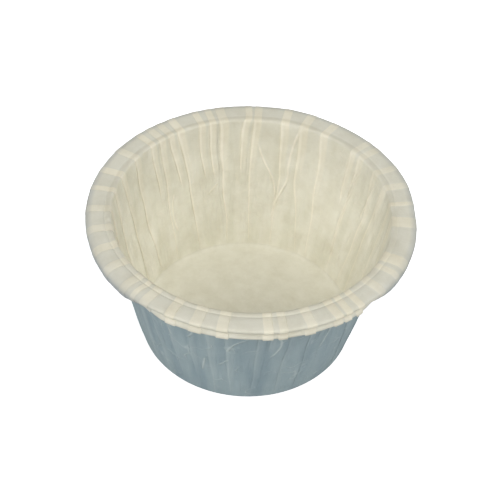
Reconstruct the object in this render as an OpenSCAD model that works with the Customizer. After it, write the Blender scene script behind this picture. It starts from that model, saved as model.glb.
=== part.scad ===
// Cupcake liner: one flat round of paper, pressed into a cup.
// The paper left over as the round stands up is laid in pleats of three layers, flat
// against the wall and across the turned rim.

/* [Cup] */
// Overall height, from the table to the top of the rim
height = 37; // [32:0.1:44]
// Diameter of the cup where the wall leaves the floor
base_d = 51.4; // [46:0.2:56]
// Overall diameter across the rim
rim_d = 76; // [74:0.2:90]
// Radius of the bend between floor and wall
corner_r = 1.2; // [0.6:0.1:2.4]
// How far the wall swells past a straight line half way up
wall_swell = 0.45; // [0:0.05:1]
// Thickness of one layer of paper
paper_t = 0.15; // [0.1:0.01:0.22]

/* [Rim] */
// Width of the flat top of the rim, from the crease to the outer edge
flange_w = 4.3; // [3:0.1:6]
// Radius of the bead where the wall rolls over into the rim
bead_r = 0.8; // [0.6:0.05:1.2]
// Depth of the crease between the bead and the flat top
crease_h = 0.25; // [0.1:0.05:0.5]
// Radius of the roll that the outer edge is turned under in
roll_r = 0.7; // [0.6:0.05:1.2]
// How much wider the roll is where it has sprung open most
loose_w = 1.5; // [0:0.1:1.5]
// Width of the front stretch where the roll is pressed flat, in degrees
front_a = 66; // [30:2:120]
// Radius of the fold along the outer edge, where it is pressed flat
fold_r = 0.45; // [0.3:0.05:0.6]
// How far the paper tucks back under the flat top there
tuck_w = 1.4; // [1:0.1:2]
// Height of the lip that flares out again below the tuck
lip_h = 2.1; // [1.4:0.1:4]
// How far the lip's raw edge stays inside the outer edge
lip_inset = 0.3; // [0.1:0.1:0.7]

/* [Pleats] */
// Share of the spare paper that the pleats take; the rest goes into fine crinkles
pleated = 0.75; // [0.6:0.05:1]
// Height of the knee, where the short pleats run into the long ones
knee_h = 21; // [14:0.5:26]
// Width of a pleat at its foot
foot_w = 0.3; // [0.2:0.05:0.8]
// Width of the slope where the sheet climbs onto its own fold
ramp_w = 0.5; // [0.2:0.05:0.6]
// Least width of single paper between two pleats
plain_w = 0.8; // [0.7:0.05:1.1]
// How far a pleat's raw edge stands out past the sheet between
edge_step = 0.25; // [0:0.05:0.6]

/* [Hidden] */

paper = [0.86, 0.84, 0.76];

// Each pleat: its angle at the rim, at the knee and at the foot, its share of the paper, and
// 1 for a long one, which starts at the floor, or 0 for a short one, which starts at the knee.
// They go once round the cup and no two are quite alike, as on any pressed cup.
pleats = [
    [58, 58, 53, 1, 1], [68, 70, 63, 1.1, 1], [77, 75, 79, 1, 1], [89, 91, 90, 0.9, 1],
    [93, 94, 93, 0.8, 0], [104, 104, 104, 1.1, 1], [109, 107, 107, 0.8, 0],
    [114, 110, 110, 0.8, 0], [124, 122, 121, 1, 1], [129, 125, 124, 0.8, 0],
    [134, 135, 137, 0.9, 1], [139, 138, 140, 0.8, 0], [150, 152, 151, 1, 1],
    [162, 160, 160, 1, 1], [172, 173, 173, 0.7, 1], [183, 184, 185, 1, 1],
    [194, 195, 197, 1.1, 1], [204, 206, 208, 1.1, 1], [214, 216, 219, 1.1, 1],
    [224, 226, 229, 1, 1], [229, 229, 232, 0.6, 0], [234, 236, 239, 1.1, 1],
    [244, 246, 248, 1.2, 1], [253, 255, 256, 1.5, 1], [262, 263, 264, 1.5, 1],
    [277, 276, 274, 1, 1], [282, 279, 277, 0.9, 0], [291, 289, 286, 1.1, 1],
    [301, 299, 297, 1, 1], [305, 303, 300, 0.8, 0], [310, 306, 303, 0.8, 0],
    [320, 321, 323, 1.1, 1], [329, 330, 329, 0.8, 0], [335, 334, 333, 1.6, 1],
    [356, 355, 352, 1.7, 1], [366, 367, 368, 0.6, 1], [376, 379, 379, 1, 1],
    [386, 385, 388, 0.9, 1], [397, 399, 401, 0.9, 1], [402, 402, 404, 0.8, 0]
];
count = len(pleats);
step_w = 0.1;  // the sharp side of a pleat
fill_a = 8;    // widest stretch of single paper drawn flat, in degrees
crease_w = 0.4;
front = 275;   // the middle of the front stretch
fade_a = 18;   // how soon the roll takes over beside it

// Where the roll has sprung open: the angle, how far it reaches, and its share of loose_w
loose = [[212, 45, 1], [328, 38, 0.55]];

// Sizes along the middle of the paper, with half a pleat on each side of it
half_t = 1.5 * paper_t;
floor_z = paper_t / 2;
top_z = height - half_t;
edge_r = rim_d / 2 - half_t;
crease_r = edge_r - flange_w;
bend_r = corner_r - paper_t / 2;
bend_c = [base_d / 2 - corner_r, corner_r];
bead_c = [crease_r - bead_r, top_z - bead_r];
fold_c = [edge_r - fold_r, top_z - fold_r];

// The wall runs from the bend to the bead, touches both, and swells a little between them
rise = bead_c - bend_c;
lean = atan2(rise[0], rise[1]) - asin((bend_r + bead_r) / norm(rise));
wall_foot = bend_c + bend_r * [cos(lean), -sin(lean)];
wall_top = bead_c - bead_r * [cos(lean), -sin(lean)];
knee_part = (knee_h - wall_foot[1]) / (wall_top[1] - wall_foot[1]);
tuck = [edge_r - tuck_w, top_z - 2.2 * fold_r];
lip_w = tuck_w - lip_inset;

function on(c, r, a) = c + r * [cos(a), sin(a)];
function wall(part) = wall_foot + part * (wall_top - wall_foot) + [4 * wall_swell * part * (1 - part), 0];

// Rings from the floor to the raw edge, at the front: [radius, height], and how far up the pleats
// have come, from 0 at the foot through 1 at the knee to 2 at the top of the wall and on the rim
rings = [
    [[bend_c[0], floor_z], -1], [on(bend_c, bend_r, -50), -1],
    [wall_foot, 0], [wall(knee_part / 2), 0.5], [wall(knee_part), 1],
    [wall((1 + knee_part) / 2), 1.5], [wall_top, 2],
    [on(bead_c, bead_r, 115), 2], [on(bead_c, bead_r, 60), 2], [[crease_r, top_z - crease_h], 2],
    [[crease_r + crease_w, top_z], 2], [[crease_r + flange_w / 2, top_z], 2],
    [on(fold_c, fold_r, 90), 2], [on(fold_c, fold_r, 0), 2],
    [on(fold_c, fold_r, -75), 2], [tuck, 2],
    [tuck + [0.65 * lip_w, -0.4 * lip_h], 2], [tuck + [lip_w, -lip_h], 2]
];
last = len(rings) - 1;
crease = 9;    // the number of the crease's ring

// Distance along the paper from the centre of the floor
path = concat([[0, floor_z]], [for (g = rings) g[0]]);
function run(i) = i < 1 ? 0 : run(i - 1) + norm(path[i] - path[i - 1]);
runs = [for (j = [0:last]) run(j + 1)];

// Beside the front the edge is rolled: the paper turns half round, and what is left runs back
function away(a, b) = abs((a - b + 540) % 360 - 180);
function open_at(a, l) = away(a, l[0]) < l[1] ? l[2] * (1 + cos(180 * away(a, l[0]) / l[1])) / 2 : 0;
function roll_at(a) = roll_r + loose_w * (open_at(a, loose[0]) + open_at(a, loose[1]));
function rolled(a) = min(1, max(0, (away(a, front) - front_a / 2) / fade_a));
function roll_place(s, r) =
    let (turn = min(180, s / r * 180 / PI))
    [edge_r - r + r * sin(turn) - max(0, s - PI * r), top_z - r * (1 - cos(turn))];
function place(j, a) =
    let (r = roll_at(a), s = runs[max(j, 0)] - runs[crease] - flange_w + r)
    j < 0 ? path[0] : j <= crease || s < 0 ? rings[j][0]
        : rings[j][0] + rolled(a) * (roll_place(s, r) - rings[j][0]);

// Square to the paper at ring j, on the side that faces the food, and on past ring j
function way(j, a) = let (v = place(j, a) - place(j - 1, a)) v / norm(v);
function square_to(j, a) =
    let (v = way(j, a), w = way(min(j + 1, last), a))
    [-v[1] - w[1], v[0] + w[0]] / (1 + v * w);

// A circle of radius s drawn on the flat round stands at radius r, so 2 pi (s - r) of paper is
// spare there. The pleats take up most of it, and each takes twice its own width.
function lies(p, u) = u > 1 ? 1 : u < 0 ? 0 : p[4];
function shares(u, i = 0) =
    i == count ? 0 : pleats[i][3] * max(lies(pleats[i], u), u < 0 ? 1 : 0) + shares(u, i + 1);
function width(p, j) =
    let (u = rings[j][1], spare = pleated * (runs[j] - rings[j][0][0]))
    lies(p, u) == 0 ? foot_w : max(foot_w, p[3] * PI * spare / shares(u));
function middle(p, u) = u > 1 ? p[1] + (p[0] - p[1]) * (u - 1) : p[2] + (p[1] - p[2]) * max(u, 0);

// Where the pleats start and end on ring j, in order, none nearer the last than plain_w
function spans(j) =
    let (u = rings[j][1], deg = 180 / PI / rings[j][0][0])
    [for (i = 0, w = width(pleats[0], j) * deg, a = middle(pleats[0], u) - w / 2;
          i < count;
          i = i + 1,
          b = a + w,
          w = width(pleats[min(i, count - 1)], j) * deg,
          a = max(middle(pleats[min(i, count - 1)], u) - w / 2, b + plain_w * deg))
        [a, a + w, lies(pleats[i], u)]];

// Columns of points round ring j on one face of the paper: [angle, layers above the sheet].
// The sheet climbs gently onto a pleat from one side and drops off sharply at the other.
function next_rim(i) = i + 1 < count ? pleats[i + 1][0] : pleats[0][0] + 360;
function fills(i) = floor((next_rim(i) - pleats[i][0]) / fill_a - 0.5);
function columns(j, face) =
    let (s = spans(j), deg = 180 / PI / rings[j][0][0],
         before = (face > 0 ? ramp_w : step_w) * deg, after = (face > 0 ? step_w : ramp_w) * deg)
    [for (i = [0:count - 1])
        let (a = s[i][0], b = s[i][1], n = i + 1 < count ? s[i + 1][0] : s[0][0] + 360, k = fills(i))
        each concat([[a - before, 0], [a, s[i][2]], [b, s[i][2]], [b + after, 0]],
                    [for (f = [1:1:k]) [b + (n - b) * f / (k + 1), 0]])];
function ring_points(j, face) =
    [for (c = columns(j, face))
        let (q = place(j, c[0]) + face * (0.5 + c[1]) * paper_t * square_to(j, c[0])
                 + (j == last ? c[1] * edge_step : 0) * way(j, c[0]))
        [q[0] * cos(c[0]), q[0] * sin(c[0]), q[1]]];

module liner() {
    inside = [for (j = [0:last]) each ring_points(j, 1)];
    outside = [for (j = [0:last]) each ring_points(j, -1)];
    m = len(inside) / (last + 1);
    o = len(inside);
    color(paper)
        polyhedron(
            points = concat(inside, outside, [[0, 0, paper_t], [0, 0, 0]]),
            faces = concat(
                [for (j = [0:last - 1], k = [0:m - 1])
                    let (p = j * m + k, q = j * m + (k + 1) % m)
                    each [[p, q, q + m], [p, q + m, p + m],
                          [o + p, o + q + m, o + q], [o + p, o + p + m, o + q + m]]],
                [for (k = [0:m - 1])
                    let (p = last * m + k, q = last * m + (k + 1) % m)
                    each [[p, q, o + q], [p, o + q, o + p]]],
                [for (k = [0:m - 1]) [2 * o, (k + 1) % m, k]],
                [for (k = [0:m - 1]) [2 * o + 1, o + k, o + (k + 1) % m]]));
}

liner();
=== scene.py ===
# %% [markdown]
# # A pleated paper cupcake liner
# One flat round of baking paper is pressed into a cup. A flat round has too much paper at its
# edge to stand up as a wall, so the press lays what is over in pleats of three layers. This
# file makes that sheet, folds every pleat as paper does, and lights it on a white table.

# %% The frame
import math
import random

import bmesh
import bpy
from mathutils import Matrix, Vector, noise


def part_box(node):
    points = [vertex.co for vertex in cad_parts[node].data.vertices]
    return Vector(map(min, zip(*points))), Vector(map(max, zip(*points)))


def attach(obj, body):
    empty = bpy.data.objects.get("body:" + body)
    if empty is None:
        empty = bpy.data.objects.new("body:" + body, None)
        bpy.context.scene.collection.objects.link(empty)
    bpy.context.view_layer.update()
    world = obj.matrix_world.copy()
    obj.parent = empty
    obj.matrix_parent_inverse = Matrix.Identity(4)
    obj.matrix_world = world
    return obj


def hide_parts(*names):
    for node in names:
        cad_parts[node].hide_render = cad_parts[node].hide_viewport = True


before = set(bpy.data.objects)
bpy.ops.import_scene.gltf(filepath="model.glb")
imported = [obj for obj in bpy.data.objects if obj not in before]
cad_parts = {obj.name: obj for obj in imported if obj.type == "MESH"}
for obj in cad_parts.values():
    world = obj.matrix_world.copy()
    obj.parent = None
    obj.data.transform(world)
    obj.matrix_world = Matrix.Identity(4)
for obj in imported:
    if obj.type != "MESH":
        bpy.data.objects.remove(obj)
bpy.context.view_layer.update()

# %% [markdown]
# The camera comes first, because everything else is judged through it. It looks down at 45
# degrees from the cup's front, from about 300 mm away, with a long lens, and it leans 2.3
# degrees, so that the cup stands a little turned in the picture, as in the photograph.

# %% Camera
MM = 0.001
TARGET = Vector((-0.09, 0, 23.38)) * MM
DISTANCE = 304 * MM
ELEVATION = math.radians(44.64)
ROLL = math.radians(2.3)
LENS, SENSOR = 93.4, 36.0

sight = Vector((0, math.cos(ELEVATION), -math.sin(ELEVATION)))
across = Vector((1, 0, 0))
upward = across.cross(sight)
right = math.cos(ROLL) * across + math.sin(ROLL) * upward
top = math.cos(ROLL) * upward - math.sin(ROLL) * across
camera = bpy.data.objects.new("camera", bpy.data.cameras.new("camera"))
bpy.context.scene.collection.objects.link(camera)
turn = Matrix((right, top, -sight)).transposed().to_4x4()
camera.matrix_world = Matrix.Translation(TARGET - DISTANCE * sight) @ turn
camera.data.lens, camera.data.sensor_width = LENS, SENSOR
camera.data.clip_start = 10 * MM
bpy.context.scene.camera = camera
print("camera at", [round(x / MM) for x in camera.matrix_world.translation], "mm")

# %% [markdown]
# The section is the line that the middle of the paper follows from the centre of the floor to
# the raw edge: floor, bend, wall, bead, crease, flat rim, fold, tuck and lip. It is a list of
# rings, each with its radius and height in millimetres, and with how far up the pleats have
# come: -1 on the floor, 0 at the foot of the wall, 1 at the knee half way up, 2 at the top and
# over the rim.

# %% Section
low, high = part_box("liner")
TOP_ROOM, SIDE_ROOM = 0.35, 0.3    # the folds and waves stand proud of the section, inside the CAD box
TOP_Z = high[2] / MM - TOP_ROOM
EDGE_R = (high[0] - low[0]) / 2 / MM - SIDE_ROOM
FLOOR_Z = 0.08             # the middle of the paper stands this far off the table
BASE_R, CORNER_R = 25.7, 1.2
FLANGE_W, BEAD_R = 4.3, 0.8
CREASE_H, CREASE_W = 0.2, 0.5      # the groove between bead and flat rim: its depth and half its width
FOLD_R = 0.5               # the fold at the outer edge, where the rim is pressed flat
KNEE_Z = 21.0              # here the short pleats start
WALL_SWELL = 0.45          # the wall swells past a straight line by this much half way up


def on_circle(centre, radius, degrees):
    a = math.radians(degrees)
    return (centre[0] + radius * math.cos(a), centre[1] + radius * math.sin(a))


def lerp(a, b, t):
    return a + (b - a) * t


# The tuck and the lip, by how far each ring lies inside the edge and below the top of the rim
LIP = [(0.95, 0.98), (1.35, 1.0), (1.52, 1.14), (1.42, 1.34), (1.1, 1.6), (0.72, 1.98), (0.44, 2.42),
       (0.3, 2.87)]
FLOOR_RINGS = (0, 9, 17, 22.5)             # radii in mm
BEND_TURNS = (-90, -65, -42, -24)          # the arcs of the section, in degrees
BEAD_RINGS, BEAD_END = 4, 70
FOLD_TURNS = (90, 45, 0, -40, -75)
CREASE_STEPS = (-0.6, -0.25, 0, 0.25, 0.6, 1)      # shares of the crease's half width
WALL_RINGS = 20


def section():
    """Rings of (radius, height, how far the pleats have come)."""
    crease_r = EDGE_R - FLANGE_W
    bend, bead = (BASE_R - CORNER_R, CORNER_R), (crease_r - BEAD_R, TOP_Z - BEAD_R)
    bend_r = CORNER_R - FLOOR_Z
    out, up = bead[0] - bend[0], bead[1] - bend[1]
    lean = math.degrees(math.atan2(out, up) - math.asin((bend_r + BEAD_R) / math.hypot(out, up)))
    foot, head = on_circle(bend, bend_r, -lean), on_circle(bead, BEAD_R, 180 - lean)
    rings = [(r, FLOOR_Z, -1) for r in FLOOR_RINGS]
    rings += [on_circle(bend, bend_r, a) + (-1,) for a in BEND_TURNS]
    for k in range(WALL_RINGS):
        t = k / (WALL_RINGS - 1)
        z = lerp(foot[1], head[1], t)
        far = (z - foot[1]) / (KNEE_Z - foot[1])
        if far > 1:
            far = 1 + (z - KNEE_Z) / (head[1] - KNEE_Z)
        rings.append((lerp(foot[0], head[0], t) + WALL_SWELL * 4 * t * (1 - t), z, far))
    rings += [on_circle(bead, BEAD_R, lerp(180 - lean, BEAD_END, k / BEAD_RINGS)) + (2,)
              for k in range(1, BEAD_RINGS + 1)]
    for t in CREASE_STEPS:
        rings.append((crease_r + t * CREASE_W, TOP_Z - CREASE_H * (1 + math.cos(math.pi * t)) / 2, 2))
    fold = (EDGE_R - FOLD_R, TOP_Z - FOLD_R)
    rings += [(lerp(crease_r + CREASE_W, fold[0], k / 3), TOP_Z, 2) for k in (1, 2)]
    rings += [on_circle(fold, FOLD_R, a) + (2,) for a in FOLD_TURNS]
    return rings + [(EDGE_R - x, TOP_Z - y, 2) for x, y in LIP]


def run_lengths():
    """Distance along the paper from the centre of the floor to each ring."""
    out = [0.0]
    for a, b in zip(RINGS, RINGS[1:]):
        out.append(out[-1] + math.hypot(b[0] - a[0], b[1] - a[1]))
    return out


RINGS = section()
RUN = run_lengths()
CREASE_RING = next(j for j, g in enumerate(RINGS) if g[0] >= EDGE_R - FLANGE_W - 1e-6)
LIP_RING = len(RINGS) - len(LIP)
print(len(RINGS), "rings, edge radius", round(EDGE_R, 2), "mm, top", round(TOP_Z, 2), "mm")

# %% [markdown]
# That is the section at the front, where the rim is pressed flat. Everywhere else the edge is
# rolled under in one round turn, tight at the back, wider at the right and widest at the left.
# At the back the press has left no crease between the bead and the rim. Both sections have the
# same rings, so one can be blended into the other with the angle.

# %% Rolled edge
FRONT, FRONT_HALF, FRONT_FADE = 275, 33, 18    # where the rim is pressed flat, in degrees
ROLL_R = 0.7
LOOSE = ((212, 45, 1.5), (327, 36, 1.2))       # where it has sprung open: angle, reach, added radius
UNCREASED = (85, 120)      # where the crease fades out: angle, reach


def smooth(t):
    """A soft step: 0 up to 0, 1 from 1 on."""
    t = min(1, max(0, t))
    return t * t * (3 - 2 * t)


def bump(degrees, centre, reach):
    """1 at the centre, falling to 0 at this many degrees from it."""
    away = abs((degrees - centre + 180) % 360 - 180) / reach
    return 0.5 + 0.5 * math.cos(math.pi * away) if away < 1 else 0.0


def rolled(degrees):
    """0 where the rim is pressed flat, 1 where its edge is rolled."""
    away = abs((degrees - FRONT + 180) % 360 - 180)
    return smooth((away - FRONT_HALF) / FRONT_FADE)


def roll_at(j, degrees):
    """The roll's radius at this angle, and how far the paper has gone round it at ring j, in
    radians. The roll starts one radius inside the edge."""
    radius = ROLL_R + sum(more * bump(degrees, centre, reach) for centre, reach, more in LOOSE)
    return radius, (RUN[j] - RUN[CREASE_RING] - FLANGE_W) / radius + 1


def ring_place(j, degrees):
    """Radius and height of ring j at this angle."""
    r, z, _ = RINGS[j]
    if abs(r - RINGS[CREASE_RING][0]) < CREASE_W:
        z += (TOP_Z - z) * bump(degrees, *UNCREASED)
    radius, gone = roll_at(j, degrees)
    share = rolled(degrees)
    if j <= CREASE_RING or gone <= 0 or share == 0:
        return r, z
    turn = min(math.pi, gone)
    under = radius * (gone - turn)
    return (lerp(r, EDGE_R - radius * (1 - math.sin(turn)) - under, share),
            lerp(z, TOP_Z - radius * (1 - math.cos(turn)), share))


loosest = max(roll_at(CREASE_RING, centre)[0] for centre, _, _ in LOOSE)
print("rolled edge", ROLL_R, "to", round(loosest, 2), "mm in radius")

# %% [markdown]
# Each pleat is given by its angle at the rim, at the knee and at the foot, its share of the
# paper, and 1 if it runs from the floor or 0 if it starts at the knee. How wide it has to be
# follows from the sheet: a circle of radius s on the flat round stands at radius r, so there
# is 2 pi (s - r) too much of it. A quarter goes into crinkles, and a pleat of width w takes 2 w.

# %% Pleats
PLEATS = [
    (58, 57, 55, 1, 1), (68, 68, 62, 1.1, 1), (77, 76, 78, 1, 1), (89, 91, 90, 0.9, 1),
    (93, 94, 93, 0.8, 0), (104, 104, 102, 1.1, 1), (109, 107, 107, 0.8, 0),
    (114, 110, 110, 0.8, 0), (124, 121, 119, 1, 1), (129, 125, 124, 0.8, 0),
    (134, 134, 134, 0.9, 1), (139, 138, 140, 0.8, 0), (150, 150, 147, 1, 1),
    (162, 160, 160, 1, 1), (172, 173, 173, 0.7, 1), (183, 184, 185, 1, 1),
    (194, 195, 197, 1.1, 1), (204, 206, 208, 1.1, 1), (214, 216, 219, 1.1, 1),
    (224, 226, 229, 1, 1), (229, 229, 232, 0.6, 0), (234, 236, 239, 1.1, 1),
    (244, 246, 248, 1.1, 1), (253, 255, 256, 1.3, 1), (262, 263, 264, 1.2, 1),
    (277, 276, 274, 1, 1), (282, 279, 277, 0.9, 0), (291, 289, 286, 1.1, 1),
    (301, 299, 297, 1, 1), (305, 303, 300, 0.8, 0), (310, 306, 303, 0.8, 0),
    (320, 321, 323, 1.1, 1), (329, 330, 329, 0.8, 0), (335, 334, 333, 1.6, 1),
    (356, 355, 352, 1.7, 1), (366, 367, 368, 0.6, 1), (376, 379, 379, 1, 1),
    (386, 385, 388, 0.9, 1), (397, 398, 399, 0.9, 1), (402, 402, 404, 0.8, 0),
]
PLEATED = 0.75             # share of the spare paper that the pleats take
FOOT_W, RAMP_W, PLAIN_W = 0.3, 0.6, 0.25   # least width of a pleat, of its slope and of what lies between
RIM_RAMP_W = 0.2           # the rim's layers are pressed hard, so the single paper steps up sharply
PRESS_RING, PRESS_RINGS = 9, 5     # the press starts this many rings before the crease, and takes so many
OPENING = 0.08             # a pleat is fully folded this share of half the wall above its start
WALL_PLY, RIM_PLY = 0.062, 0.045   # from one layer of a pleat to the next; the rim is pressed flat
TURN_R = 0.04              # radius of the paper where it folds on itself
CREST_W, CREST_H = 0.5, 1.2        # how wide, and by how many layers, a folded edge springs off the wall
OUTER_CREST = 0.15         # share of that for the edges that face outwards, which the mould presses flat
EDGE_W = 0.06              # and how wide it is on the rim
CREST_PART = 0.25          # a crest takes no more than this share of its pleat
CREST_RISE = 0.7           # how far the paper has risen one step before its fold
TOP_CREST, BOTTOM_CREST = 0.7, 0.3         # the steps of a layer past this share, or before it, are a crest
rng = random.Random(11)
WOBBLE = [(rng.uniform(0, 6.3), rng.uniform(0.25, 0.5), rng.uniform(0.05, 0.16)) for _ in PLEATS]


def pressed(j):
    """0 on the wall, rising over the bead to 1 on the flat rim."""
    return smooth((j - CREASE_RING + PRESS_RING) / PRESS_RINGS)


def ramp_w(j):
    """Width on ring j of the slope from the single paper onto a pleat."""
    return lerp(RAMP_W, RIM_RAMP_W, pressed(j))


def lies(pleat, far):
    """1 where the pleat is folded, 0 below its start."""
    begin = 0 if pleat[4] else 1
    return min(1.0, max(0.0, (far - begin) / OPENING))


def per_mm(j):
    """Degrees in one millimetre round ring j. The floor takes those of its edge, so its lines
    run straight to the centre."""
    return math.degrees(1 / (BASE_R if RINGS[j][2] < 0 else RINGS[j][0]))


def spans(j):
    """Where each pleat starts and ends on ring j, in degrees, and how far it is folded."""
    r, _, far = RINGS[j]
    deg = per_mm(j)
    shares = sum(p[3] for p in PLEATS if p[4] or far > 1)
    out, last_end = [], -1e9
    for p, (phase, pace, size) in zip(PLEATS, WOBBLE):
        middle = lerp(p[2], p[1], max(far, 0)) if far < 1 else lerp(p[1], p[0], far - 1)
        folded = lies(p, far)
        full = PLEATED * p[3] * math.pi * (RUN[j] - r) / shares
        w = max(FOOT_W, full) if folded else FOOT_W
        shift = size * math.sin(phase + pace * RUN[j]) if 0 < far else 0
        start = max(middle + (shift - w / 2) * deg, last_end + (2 * ramp_w(j) + PLAIN_W) * deg)
        out.append((start, start + w * deg, folded))
        last_end = out[-1][1]
    return out


SPANS = [spans(j) for j in range(len(RINGS))]
print("pleats", len(PLEATS), "blank", round(2 * RUN[-1], 1), "mm across")

# %% [markdown]
# Round the cup, the sheet is cut into columns. Each pleat has the same run of them: the paper
# climbs onto the pleat, crosses the top, folds under, goes back through the middle, folds
# again, crosses the bottom and drops back to the level of the single sheet. Paper is springy,
# so on the wall both folded edges stand up a little, as crests.

# %% Columns
STEPS = (("climb", 2), ("top", 4), ("fold", 2), ("middle", 1), ("fold back", 2), ("bottom", 4),
         ("drop", 2))
PLEAT_TAKES, PLAIN_STEP = 4, 0.8   # degrees that a pleat takes, and between two columns beside it
COLUMNS = []
for i, pleat in enumerate(PLEATS):
    next_rim = PLEATS[i + 1][0] if i + 1 < len(PLEATS) else PLEATS[0][0] + 360
    plain_steps = max(2, round((next_rim - pleat[0] - PLEAT_TAKES) / PLAIN_STEP))
    for kind, count in STEPS + (("plain", plain_steps),):
        COLUMNS += [(i, kind, k / count) for k in range(count)]
SLIP_RINGS = 6             # past the crease, the layers part over so many rings
# How far each layer ends past its neighbour, in mm, at the outer edge and at the raw edge
SLIP = [{"top": rng.uniform(0.0, 0.1), "bottom": rng.uniform(-0.05, 0.08), "plain": rng.uniform(-0.12, 0.0)}
        for _ in PLEATS]
RAW = [{"top": rng.uniform(0.0, 0.12), "bottom": rng.uniform(-0.1, 0.1), "plain": rng.uniform(-0.18, 0.0)}
       for _ in PLEATS]
SWELL = [rng.uniform(-0.05, 0.25) for _ in PLEATS]    # how far the single paper beside it swells out
STRENGTH = [rng.uniform(0.6, 1.0) for _ in PLEATS]    # how clearly each pleat shows on the rim
print(len(COLUMNS), "columns")


def stepped(table, c):
    """One value for each layer of a pleat and for each stretch of single paper."""
    i, kind, f = COLUMNS[c]
    if kind in ("top", "fold"):
        return table[i]["top"]
    if kind in ("fold back", "bottom", "middle"):
        return table[i]["bottom"]
    if kind == "climb":
        return lerp(table[i - 1]["plain"], table[i]["top"], smooth(f))
    if kind == "drop":
        return lerp(table[i]["bottom"], table[i]["plain"], smooth(f))
    return table[i]["plain"]


def fold_place(j, c):
    """Angle in degrees, and layers above the single sheet, of column c on ring j."""
    i, kind, f = COLUMNS[c]
    a, b, folded = SPANS[j][i]
    deg = per_mm(j)
    ramp = ramp_w(j) * deg
    turn = TURN_R * deg * math.sin(math.pi * f)
    crest = min(lerp(CREST_W, EDGE_W, pressed(j)) * deg, CREST_PART * (b - a))
    spring = CREST_H * (1 - pressed(j)) * min(1, (b - a) / deg)
    edge, outer_edge = 1 + spring, 1 + OUTER_CREST * spring
    if kind == "climb":
        return a - ramp * (1 - f), folded * smooth(f)
    if kind == "top":
        way = (a, lerp(a, b, 0.45), b - 2 * crest, b - crest)[round(4 * f)]
        return way, folded * (1 if f < TOP_CREST else lerp(1, edge, CREST_RISE))
    if folded == 0 and kind in ("fold", "middle", "fold back", "bottom"):
        return b, 0.0
    if kind == "fold":
        return b + turn, folded * edge * (0.5 + 0.5 * math.cos(math.pi * f))
    if kind == "middle":
        return lerp(b, a, f), 0.0
    if kind == "fold back":
        return a - turn, folded * outer_edge * (0.5 * math.cos(math.pi * f) - 0.5)
    if kind == "bottom":
        way = (a, a + crest, a + 2 * crest, lerp(a, b, 0.6))[round(4 * f)]
        return way, -folded * (outer_edge if f == 0 else 1)
    if kind == "drop":
        return b + ramp * f, -folded * (1 - smooth(f))
    n = SPANS[j][i + 1][0] if i + 1 < len(PLEATS) else SPANS[j][0][0] + 360
    return lerp(b + ramp, n - ramp, f), 0.0


# %% [markdown]
# How the paper looks depends on where it is: in one layer or three. Its colour also holds painted light and
# shade: a highlight on a crest, light coming through the wall, shade on the bead and where the edge is turned
# under. A texture could hold this, but the folds already know it, so each point of the sheet gets these
# shares as attributes.

# %% Shares for the materials
KNEE_PLIES = 0.2           # how much the layers still show below the knee
OUTER_SHARE = 0.25         # how much painted highlight an edge that faces outwards gets, beside one that faces inwards
LIP_LIT, FLOOR_LIT, BEND_LIT = 0.6, 0.32, 0.6      # the painted light that each gets, as if it came through the paper
BEND_RUN, BEND_LENGTH = 23.5, 2.5          # where the floor's edge is along the paper, in mm
TOP_LIT, SIDE_LIT = 0.45, 0.9              # under the bead, at the back and front, and at the sides
SHUT_RING, SHUT_RINGS = 7, 3               # rings before the crease where the painted light fades, and over how many
BEAD_RING, BEAD_REACH = 3.5, 4.5           # rings before the crease where the bead's middle is
BEAD_MIDDLE, BEAD_SPREAD = 95, 95          # where the painted shade on the bead is strongest: angle, reach
# The painted shade round the rolled edge starts at these shares and angles.
TIGHT_START, LOOSE_START = 0.5, 0.15       # the share where a tight and a loose roll turn down
TOP_TURN, DOWN_TURN, UNDER_TURN = 30, 45, 60       # degrees round the roll


def plies_here(j, c):
    """1 where three layers of the rim lie on each other; down the wall they show less and less."""
    i, kind, f = COLUMNS[c]
    layered = {"climb": smooth(f), "drop": 1 - smooth(f), "plain": 0}.get(kind, 1)
    low_down = KNEE_PLIES + (1 - KNEE_PLIES) * max(0, RINGS[j][2] - 1)
    return layered * SPANS[j][i][2] * lerp(low_down, STRENGTH[i], pressed(j))


def crest_here(j, c):
    """Share of the painted highlight: 1 on the crest of a pleat inside the wall, less on the flatter ones
    outside.
    """
    i, kind, f = COLUMNS[c]
    inner = kind == "fold" or (kind == "top" and f > TOP_CREST)
    outer = kind == "fold back" or (kind == "bottom" and f < BOTTOM_CREST)
    return (inner + OUTER_SHARE * outer) * SPANS[j][i][2] * (1 - pressed(j))


def painted_light_here(j, degrees):
    """How much painted light goes into the colour, as if light came through from behind: 1 at the foot of the
    wall, less on the floor, less and less up the wall, above all at its back and front, and 0 on the rim."""
    far = RINGS[j][2]
    if j > LIP_RING:
        return LIP_LIT
    if far < 0:
        return lerp(FLOOR_LIT, BEND_LIT, smooth((RUN[j] - BEND_RUN) / BEND_LENGTH))
    aside = math.cos(math.radians(degrees)) ** 2
    shut = smooth((j - CREASE_RING + SHUT_RING) / SHUT_RINGS)
    return lerp(1, lerp(TOP_LIT, SIDE_LIT, aside), far / 2) * (1 - shut)


def painted_bead_shade(j, degrees):
    """Share of the painted shade on the bead, the most at the back."""
    more = lerp(0.5, 1, bump(degrees, BEAD_MIDDLE, BEAD_SPREAD))
    return bump(j, CREASE_RING - BEAD_RING, BEAD_REACH) * more


def painted_roll_shade(j, degrees):
    """Share of the painted shade: 0 on top of the rim, rising to 1 where the rolled edge faces outwards and
    down.
    """
    if j <= CREASE_RING:
        return 0.0
    radius, gone = roll_at(j, degrees)
    first = lerp(TIGHT_START, LOOSE_START, (radius - ROLL_R) / LOOSE[0][2])
    gone = math.degrees(gone)
    return rolled(degrees) * lerp(first * smooth(gone / TOP_TURN), 1, smooth((gone - DOWN_TURN) / UNDER_TURN))


# %% [markdown]
# No pressed paper is perfect: single stretches swell between their pleats, the rim waves a
# little, and every layer ends a bit further out or in than its neighbour, which gives the rim
# and the raw edge their small steps, the largest at the front.

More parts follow.
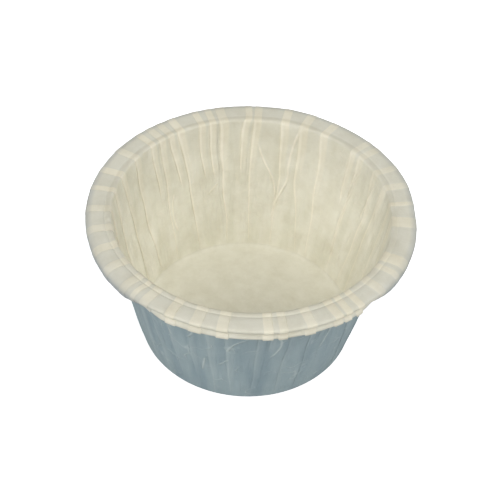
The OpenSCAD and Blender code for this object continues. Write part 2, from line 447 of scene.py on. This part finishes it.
# %% Unevenness
DENTS = ((3, 18, 0.5), (75, 16, -0.25))    # the rim is a little flat or full here: angle, reach, mm deep
LEAN = 0.5                 # the foot stands this far to the left of the rim's middle
PUCKER = (188, 26, 4.6, 0.12)      # small gathers on the bead: their middle, reach, spacing and depth
PUCKER_RING = 4            # rings before the crease where they are deepest
WAVES_FULL = 3             # the waves are full at a third of the way up to the knee
LONG_WAVES, SHORT_WAVES = (0.22, 9.0, 3), (0.07, 3.2, 8)       # their depth, length and seed
RIM_CALM, FRONT_STEPS = 0.7, 0.9   # the waves lose this share on the rim, the steps away from the front
OVAL = 0.0012              # the cup is this share longer one way than round
RAW_WAY = Vector((LIP[-2][0] - LIP[-1][0], LIP[-2][1] - LIP[-1][1])).normalized()


def square_to(j, degrees):
    """Square to the paper at ring j, on the side that faces the food."""
    a, b = ring_place(max(j - 1, 0), degrees), ring_place(min(j + 1, len(RINGS) - 1), degrees)
    dr, dz = b[0] - a[0], b[1] - a[1]
    size = math.hypot(dr, dz)
    return -dz / size, dr / size


def waves(spot, size, seed):
    return noise.noise(spot / size + Vector((seed, 2.7 * seed, 0.3 * seed)))


def place(j, c):
    """Where column c of ring j is, in millimetres."""
    if j == 0:
        return Vector((-LEAN, 0, FLOOR_Z))
    far = RINGS[j][2]
    degrees, level = fold_place(j, c)
    r, z = ring_place(j, degrees)
    a = math.radians(degrees)
    spot = Vector((r * math.cos(a), r * math.sin(a), z))
    wall, rim = min(1, max(0, far * WAVES_FULL)), pressed(j)
    front = 1 - FRONT_STEPS * rolled(degrees)
    off = level * lerp(WALL_PLY, RIM_PLY, rim)
    wavy = sum(deep * waves(spot, size, seed) for deep, size, seed in (LONG_WAVES, SHORT_WAVES))
    off += wall * (1 - RIM_CALM * rim) * wavy
    i, kind, f = COLUMNS[c]
    if kind == "plain":
        off -= wall * (1 - rim) * SWELL[i] * math.sin(math.pi * f)
    middle, reach, spacing, deep = PUCKER
    on_bead = bump(j, CREASE_RING - PUCKER_RING, PUCKER_RING)
    off += deep * on_bead * bump(degrees, middle, reach) * math.cos(2 * math.pi * degrees / spacing)
    square = square_to(j, degrees)
    r, z = r + off * square[0], z + off * square[1]
    r += smooth((j - CREASE_RING) / SLIP_RINGS) * front * stepped(SLIP, c)
    if j > LIP_RING:
        t = (j - LIP_RING) / (len(LIP) - 1) * front * stepped(RAW, c)
        r, z = r + t * RAW_WAY[0], z + t * RAW_WAY[1]
    r *= 1 + OVAL * wall * math.cos(2 * a + 1)
    r -= rim * sum(deep * bump(degrees, centre, reach) for centre, reach, deep in DENTS)
    return Vector((r * math.cos(a) - LEAN * (1 - z / TOP_Z), r * math.sin(a), z))


# %% [markdown]
# The sheet starts as the section line. Spin turns it once round the axis with one step for
# each column, and then every point moves to its place in the folds. Where a pleat hasn't
# started, its folded columns fall on one point, and they are merged. The sheet also keeps
# where each point was on the flat round, so that grain and creases follow the paper.

# %% Sheet
MERGE = 0.002 * MM
bm = bmesh.new()
ring_layer = bm.verts.layers.int.new("ring")
line = []
for j, (r, z, _) in enumerate(RINGS):
    v = bm.verts.new((r, 0, z))
    v[ring_layer] = j
    line.append(v)
for a, b in zip(line, line[1:]):
    bm.edges.new((a, b))
bmesh.ops.spin(bm, geom=bm.verts[:] + bm.edges[:], cent=(0, 0, 0), axis=(0, 0, 1), angle=2 * math.pi,
               steps=len(COLUMNS), use_merge=True)
for name in ("plies", "crest", "lit", "turned", "bead"):
    bm.verts.layers.float.new(name)
bm.verts.layers.float_vector.new("grain")
shares, ring_layer = bm.verts.layers.float, bm.verts.layers.int["ring"]
grain_layer = bm.verts.layers.float_vector["grain"]
step = 2 * math.pi / len(COLUMNS)
for v in bm.verts:
    j = v[ring_layer]
    c = round(math.atan2(v.co.y, v.co.x) / step) % len(COLUMNS)
    degrees = fold_place(j, c)[0] if j else 0
    v[shares["plies"]] = plies_here(j, c)
    v[shares["crest"]] = crest_here(j, c)
    v[shares["lit"]] = painted_light_here(j, degrees)
    v[shares["turned"]] = painted_roll_shade(j, degrees)
    v[shares["bead"]] = painted_bead_shade(j, degrees)
    reach = min(RUN[j], BASE_R)
    v[grain_layer] = (reach * math.cos(math.radians(degrees)), reach * math.sin(math.radians(degrees)),
                      RUN[j] - reach)
    v.co = place(j, c) * MM
bmesh.ops.remove_doubles(bm, verts=bm.verts[:], dist=MERGE)
bmesh.ops.dissolve_degenerate(bm, edges=bm.edges[:], dist=MERGE / 4)
bm.normal_update()
centre = min(bm.faces, key=lambda face: face.calc_center_median().xy.length)
print("floor faces point", "up" if centre.normal.z > 0 else "down")
for face in bm.faces:
    face.smooth = True
mesh = bpy.data.meshes.new("liner_paper")
bm.to_mesh(mesh)
bm.free()
liner = bpy.data.objects.new("liner_paper", mesh)
bpy.context.scene.collection.objects.link(liner)
print(len(mesh.vertices), "points", len(mesh.polygons), "faces")

# %% [markdown]
# Baking paper is under a tenth of a millimetre thick. Solidify gives the sheet that, half to
# each side, and gives its back a material of its own.

# %% Thickness
PAPER_T = 0.045
shell = liner.modifiers.new("thickness", "SOLIDIFY")
shell.thickness = PAPER_T * MM
shell.offset = 0
shell.use_rim = True
shell.material_offset = 1
shell.material_offset_rim = 0
print("paper", PAPER_T, "mm thick")

# %% [markdown]
# The paper is bleached baking paper, calendered but uncoated: matte, faintly cream, with fine fibres. Where
# three layers lie on each other less light goes through, and the paper looks whiter and warmer. The back of
# the sheet is painted a cooler, darker grey, as painted shade. Three small functions turn a hex colour to
# linear, add a node with its links, and mix two colours.

# %% Materials
def linear(hex_code):
    parts = [int(hex_code[k:k + 2], 16) / 255 for k in (1, 3, 5)]
    return [(p / 12.92 if p <= 0.04045 else ((p + 0.055) / 1.055) ** 2.4) for p in parts] + [1.0]


def add(tree, kind, inputs=None, **settings):
    node = tree.nodes.new(kind)
    for name, value in settings.items():
        setattr(node, name, value)
    for name, value in (inputs or {}).items():
        if isinstance(value, bpy.types.NodeSocket):
            tree.links.new(value, node.inputs[name])
        else:
            node.inputs[name].default_value = value
    return node


def mixed(tree, share, a, b):
    return add(tree, "ShaderNodeMix", {0: share, 6: a, 7: b}, data_type="RGBA").outputs[2]


# %% [markdown]
# Some wrinkles run across from one pleat to the next, and the looser wall is crumpled. Both are finer than
# the sheet's columns, so the material draws them, as bumps and as a painted highlight, from the attribute
# grain, which says where a point was on the flat round. A wrinkle is a curve of the angle over the height.
# A crumple is where a soft noise passes its middle, which gives short curved creases.

# %% Wrinkles and crumples
WRINKLE_W = 0.45           # half the width of a wrinkle, in mm
WRINKLE_ENDS = 3.0         # how quickly a wrinkle rises at its two ends
CRUMPLE_MM, GROUP_MM = 4.5, 6      # from one crumple to the next, and the size of their groups
CRUMPLE_BEND = 0.6         # how much the creases wander
CREASE_BAND = 0.035        # how far from its middle the noise still makes a crease
GROUP_FROM, GROUP_TO = 0.5, 0.6    # from where to where in their noise the groups start


def wrinkles(tree, sheet, lines):
    """1 along each line, which is a list of (mm up the wall, degrees), and 0 beside it. Turns are
    counted from the left, at 180 degrees, where no line may cross."""
    apart = add(tree, "ShaderNodeSeparateXYZ", {"Vector": sheet})
    angle = add(tree, "ShaderNodeMath", {0: apart.outputs[1], 1: apart.outputs[0]}, operation="ARCTAN2")
    turns = add(tree, "ShaderNodeMath", {0: angle.outputs[0], 1: 0.5 / math.pi, 2: 0.5},
                operation="MULTIPLY_ADD")
    total = 0.0
    for line in lines:
        line = [(up_mm, (degrees + 180) % 360 / 360) for up_mm, degrees in line]
        (low, a), (high, b) = line[0], line[-1]
        up = add(tree, "ShaderNodeMapRange", {0: apart.outputs[2], 1: low, 2: high}).outputs[0]
        path = add(tree, "ShaderNodeFloatCurve", {"Value": up})
        curve = path.mapping.curves[0]
        for up_mm, turn in line[1:-1]:
            curve.points.new((up_mm - low) / (high - low), turn)
        curve.points[0].location = (0, a)
        curve.points[-1].location = (1, b)
        path.mapping.update()
        aside = add(tree, "ShaderNodeMath", {0: turns.outputs[0], 1: path.outputs[0]}, operation="SUBTRACT")
        off = add(tree, "ShaderNodeMath", {0: aside.outputs[0]}, operation="ABSOLUTE")
        half_width = WRINKLE_W / (2 * math.pi * BASE_R)
        ridge = add(tree, "ShaderNodeMapRange", {0: off.outputs[0], 1: 0.0, 2: half_width, 3: 1.0, 4: 0.0},
                    interpolation_type="SMOOTHSTEP")
        ends = add(tree, "ShaderNodeMath", {0: up, 1: math.pi}, operation="MULTIPLY")
        arch = add(tree, "ShaderNodeMath", {0: ends.outputs[0]}, operation="SINE")
        full = add(tree, "ShaderNodeMath", {0: arch.outputs[0], 1: WRINKLE_ENDS}, operation="MULTIPLY",
                   use_clamp=True)
        total = add(tree, "ShaderNodeMath", {0: ridge.outputs[0], 1: full.outputs[0], 2: total},
                    operation="MULTIPLY_ADD").outputs[0]
    return total


def crumples(tree, sheet):
    """Short curved creases, where a soft noise crosses its middle, in loose groups."""
    field = add(tree, "ShaderNodeTexNoise", {"Vector": sheet, "Scale": 1 / CRUMPLE_MM, "Detail": 1.0,
                                             "Distortion": CRUMPLE_BEND})
    aside = add(tree, "ShaderNodeMath", {0: field.outputs["Fac"], 1: 0.5}, operation="SUBTRACT")
    off = add(tree, "ShaderNodeMath", {0: aside.outputs[0]}, operation="ABSOLUTE")
    crease = add(tree, "ShaderNodeMapRange", {0: off.outputs[0], 1: 0.0, 2: CREASE_BAND, 3: 1.0, 4: 0.0},
                 interpolation_type="SMOOTHSTEP")
    groups = add(tree, "ShaderNodeTexNoise", {"Vector": sheet, "Scale": 1 / GROUP_MM, "Detail": 0.0})
    there = add(tree, "ShaderNodeMapRange", {0: groups.outputs["Fac"], 1: GROUP_FROM, 2: GROUP_TO},
                interpolation_type="SMOOTHSTEP")
    return add(tree, "ShaderNodeMath", {0: crease.outputs[0], 1: there.outputs[0]},
               operation="MULTIPLY").outputs[0]


# %% [markdown]
# One function makes either side of the paper. It starts from the colours of one layer and of three, lightens
# the wall with painted light, paints a highlight on the crests and wrinkles and shade round the rolled edge,
# and darkens cloudy spots, where the pulp lay thicker, the bead, as painted shade, and long soft streaks,
# where the wall was drawn. Four bumps follow: crinkles along the wall, creases, clouds and fibres. Real
# fibres are about 0.03 mm wide, too fine to show in the picture, so they are drawn fifteen times as coarse.

# %% Paper
CLOUD_MM, FIBRE_MM = 4.8, 0.45     # how wide a cloudy spot and a fibre are
STREAK_MM, CRINKLE_MM = 3.3, 1.1   # how wide a streak and a crinkle are
DRAWN = 0.16               # streaks and crinkles are about six times as long as wide
ROUGH = 0.62               # calendered but uncoated
BEAD_SHADE_SHARE = 0.75           # how much painted shade darkens the bead
CLOUD_SHARE = 0.7          # how dark the cloudy spots get, of the blotch colour
CLOUDS, BANDS = (0.4, 0.7), (0.4, 0.62)    # from where to where the noise makes a spot or a streak
LOOSE_WALL = (0.45, 0.65)  # where this much painted light comes through, the paper is loose and crumpled
CRINKLED_WALL = (0.4, 0.8)         # and crinkled
RIM_CRINKLE = 0.1          # share of the crinkles that is left on the pressed rim


def paper(name, single, pleat, wall, crest, turned, clouds_and_shade, streak, crumpled, lines):
    """Baking paper: its colour in one layer and in three on the rim, on the wall, which is lighter with
    painted light, and on its crests and wrinkles, as a painted highlight; the painted shade round the rolled
    edge; the colour of its cloudy spots, which also paints shade on the bead; its long soft streaks; how much
    its wall is crumpled, and the wrinkles that run across it."""
    material = bpy.data.materials.new(name)
    material.use_nodes = True
    tree = material.node_tree
    tree.nodes.clear()
    here = add(tree, "ShaderNodeTexCoord").outputs["Object"]
    plies = add(tree, "ShaderNodeAttribute", attribute_name="plies").outputs["Fac"]
    lit = add(tree, "ShaderNodeAttribute", attribute_name="lit").outputs["Fac"]
    ridge = add(tree, "ShaderNodeAttribute", attribute_name="crest").outputs["Fac"]
    under = add(tree, "ShaderNodeAttribute", attribute_name="turned").outputs["Fac"]
    # Painted light: where light would come through the paper, one layer turns towards the brighter wall
    # colour and three layers towards the crest colour.
    plain = mixed(tree, lit, linear(single), linear(wall))
    layered = mixed(tree, lit, linear(pleat), linear(crest))
    sheet = add(tree, "ShaderNodeAttribute", attribute_name="grain").outputs["Vector"]
    drawn = add(tree, "ShaderNodeMapping", {"Vector": sheet, "Scale": (1.0, 1.0, DRAWN)})
    crossing = wrinkles(tree, sheet, lines)
    loose = add(tree, "ShaderNodeMapRange", {0: lit, 1: LOOSE_WALL[0], 2: LOOSE_WALL[1], 3: 0.0,
                                             4: crumpled})
    crossing = add(tree, "ShaderNodeMath", {0: crumples(tree, sheet), 1: loose.outputs[0], 2: crossing},
                   operation="MULTIPLY_ADD", use_clamp=True).outputs[0]
    # Painted highlight: crests, wrinkles and crumples are lightened towards the crest colour.
    painted_highlight_mask = add(tree, "ShaderNodeMath", {0: ridge, 1: crossing}, operation="MAXIMUM").outputs[0]
    highlighted = mixed(tree, painted_highlight_mask, mixed(tree, plies, plain, layered), linear(crest))
    # Painted shade: where the rolled edge faces outwards and down, the colour turns to the cool grey turned
    # colour.
    base = mixed(tree, under, highlighted, linear(turned))
    clouds = add(tree, "ShaderNodeTexNoise", {"Vector": here, "Scale": 1 / (CLOUD_MM * MM), "Detail": 7.0,
                                              "Roughness": 0.65})
    spread = add(tree, "ShaderNodeMapRange", {0: clouds.outputs["Fac"], 1: CLOUDS[0], 2: CLOUDS[1], 3: 0.0,
                                              4: CLOUD_SHARE})
    bead = add(tree, "ShaderNodeAttribute", attribute_name="bead").outputs["Fac"]
    # Painted shade: the bead is darkened with the cloud colour, on top of the cloudy spots.
    spots_and_bead_shade = add(tree, "ShaderNodeMath", {0: bead, 1: BEAD_SHADE_SHARE, 2: spread.outputs[0]},
                 operation="MULTIPLY_ADD")
    spotted_and_shaded = add(tree, "ShaderNodeMix", {0: spots_and_bead_shade.outputs[0], 6: base, 7: linear(clouds_and_shade)},
                 data_type="RGBA", blend_type="MULTIPLY")
    bands = add(tree, "ShaderNodeTexNoise", {"Vector": drawn.outputs[0], "Scale": 1 / STREAK_MM,
                                             "Detail": 1.0})
    banded = add(tree, "ShaderNodeMapRange", {0: bands.outputs["Fac"], 1: BANDS[0], 2: BANDS[1]})
    streaks = add(tree, "ShaderNodeMath", {0: banded.outputs[0], 1: lit}, operation="MULTIPLY")
    shade = add(tree, "ShaderNodeMix", {0: streaks.outputs[0], 6: spotted_and_shaded.outputs[2], 7: linear(streak)},
                data_type="RGBA", blend_type="MULTIPLY")
    crinkle = add(tree, "ShaderNodeTexNoise", {"Vector": drawn.outputs[0], "Scale": 1 / CRINKLE_MM,
                                               "Detail": 3.0})
    fibres = add(tree, "ShaderNodeTexNoise", {"Vector": here, "Scale": 1 / (FIBRE_MM * MM), "Detail": 3.0})
    crinkled = add(tree, "ShaderNodeMapRange", {0: lit, 1: CRINKLED_WALL[0], 2: CRINKLED_WALL[1],
                                                3: RIM_CRINKLE, 4: 1.0})
    creased = add(tree, "ShaderNodeBump", {"Height": crinkle.outputs["Fac"], "Strength": crinkled.outputs[0],
                                           "Distance": 0.5 * MM})
    folded = add(tree, "ShaderNodeBump", {"Height": crossing, "Strength": 0.6, "Distance": 0.3 * MM,
                                          "Normal": creased.outputs[0]})
    soft = add(tree, "ShaderNodeBump", {"Height": clouds.outputs["Fac"], "Strength": 0.25,
                                        "Distance": 0.4 * MM, "Normal": folded.outputs[0]})
    grain = add(tree, "ShaderNodeBump", {"Height": fibres.outputs["Fac"], "Strength": 0.25,
                                         "Distance": 0.05 * MM, "Normal": soft.outputs[0]})
    shader = add(tree, "ShaderNodeBsdfPrincipled", {"Base Color": shade.outputs[2], "Roughness": ROUGH,
                                                    "Normal": grain.outputs[0]})
    add(tree, "ShaderNodeOutputMaterial", {"Surface": shader.outputs[0]})
    return material


# %% [markdown]
# The side that faces the food is cream. The outside is more crumpled, and its cool, dark grey-blue is painted
# shade, for the outside of the cup stands in shade. Material slot 0 is the inside, and the thickness puts
# slot 1 on the back.

# %% Two sides
# Each wrinkle is a line of points (mm up the wall, degrees)
INSIDE_LINES = (((12, 78.5), (17, 78.5), (21, 81), (25, 85), (30, 88)),
                ((6, 78), (12, 78), (16, 75.5), (20, 73), (25, 73), (30, 72), (37, 69)),
                ((3, 39), (10, 40), (17, 40), (24, 38.5), (29, 37), (33.5, 35.5)),
                ((16, 112), (19, 107)), ((8, 131), (14, 133), (20, 131)), ((22, 28), (28, 26), (33, 24)))
OUTSIDE_LINES = (((20, 262), (24, 266), (26, 271)), ((14, 258), (17, 263)), ((22, 244), (25, 247), (28, 246)),
                 ((18, 281), (23, 285), (27, 283)), ((24, 292), (25, 297), (26, 300)), ((10, 250), (16, 252)),
                 ((16, 305), (22, 308), (27, 309)), ((20, 236), (26, 233)))
inside = paper("baking_paper_inside", single="#dad7c7", pleat="#e9e3ce", wall="#f5f2e3", crest="#fffaea",
               turned="#a6adb1", clouds_and_shade="#eeece6", streak="#f6f6f3", crumpled=0.2, lines=INSIDE_LINES)
# Painted shade: the outside colours are dark and cool because the outside of the cup stands in shade.
outside = paper("baking_paper_outside", single="#8a9ca2", pleat="#96a6aa", wall="#a6b7ba", crest="#c2cecc",
                turned="#a8b9bd", clouds_and_shade="#ecf0f2", streak="#e6ebf0", crumpled=0.6, lines=OUTSIDE_LINES)
for side in (inside, outside):
    print(side.name, len(side.node_tree.nodes), "nodes")
liner.data.materials.append(inside)
liner.data.materials.append(outside)
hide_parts("liner")
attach(liner, "root")

# %% [markdown]
# The table and the light are a plain studio: a white floor, a soft lamp right above the cup,
# large soft ones in front and at both sides, and a dim even room. Together they light the cup
# at a plain level. Only the camera sees the floor and the room lifted to white.

# %% Stage
TABLE_HALF = 3.0           # half the table's side, in metres
TABLE_LIFT = 0.8           # glow that only the camera sees, to bring the table to white
table_mesh = bpy.data.meshes.new("table")
bm = bmesh.new()
bmesh.ops.create_grid(bm, x_segments=1, y_segments=1, size=TABLE_HALF)
bm.to_mesh(table_mesh)
bm.free()
table = bpy.data.objects.new("table", table_mesh)
bpy.context.scene.collection.objects.link(table)
white = bpy.data.materials.new("white_table")
white.use_nodes = True
tree = white.node_tree
tree.nodes.clear()
painted = add(tree, "ShaderNodeBsdfDiffuse", {"Color": linear("#d8d8d8")})
camera_ray = add(tree, "ShaderNodeLightPath").outputs["Is Camera Ray"]
lift = add(tree, "ShaderNodeMath", {0: camera_ray, 1: TABLE_LIFT}, operation="MULTIPLY")
glow = add(tree, "ShaderNodeEmission", {"Color": (1, 1, 1, 1), "Strength": lift.outputs[0]})
both = add(tree, "ShaderNodeAddShader", {0: painted.outputs[0], 1: glow.outputs[0]})
add(tree, "ShaderNodeOutputMaterial", {"Surface": both.outputs[0]})
table.data.materials.append(white)
print("table", 2 * TABLE_HALF, "m wide")

# %% Light
AIM = Vector((0, 0, 0.02))
ROOM_LEVEL = 0.13          # how strongly the room lights the cup
# Each lamp's name, its place and width in metres, and its power in watts
LAMPS = (("overhead", (0.0, 0.0, 1.4), 0.8, 4.3), ("front", (0.0, -1.75, 1.75), 1.6, 20.6),
         ("left", (-1.75, -1.1, 1.35), 1.6, 20.8), ("right", (1.92, -0.4, 1.5), 1.6, 21.0))
for name, spot, size, power in LAMPS:
    data = bpy.data.lights.new(name, "AREA")
    data.shape, data.size, data.energy = "DISK", size, power
    lamp = bpy.data.objects.new(name, data)
    lamp.location = spot
    lamp.rotation_euler = (AIM - Vector(spot)).to_track_quat("-Z", "Y").to_euler()
    bpy.context.scene.collection.objects.link(lamp)

world = bpy.data.worlds.new("room")
bpy.context.scene.world = world
world.use_nodes = True
tree = world.node_tree
tree.nodes.clear()
seen = add(tree, "ShaderNodeLightPath").outputs["Is Camera Ray"]
level = add(tree, "ShaderNodeMapRange", {0: seen, 1: 0.0, 2: 1.0, 3: ROOM_LEVEL, 4: 1.0})
shade = add(tree, "ShaderNodeMix", {0: seen, 6: linear("#eef3f7"), 7: linear("#ffffff")}, data_type="RGBA")
sky = add(tree, "ShaderNodeBackground", {"Color": shade.outputs[2], "Strength": level.outputs[0]})
add(tree, "ShaderNodeOutputWorld", {"Surface": sky.outputs[0]})
bpy.context.scene.view_settings.view_transform = "Standard"
print(len(LAMPS), "lamps")
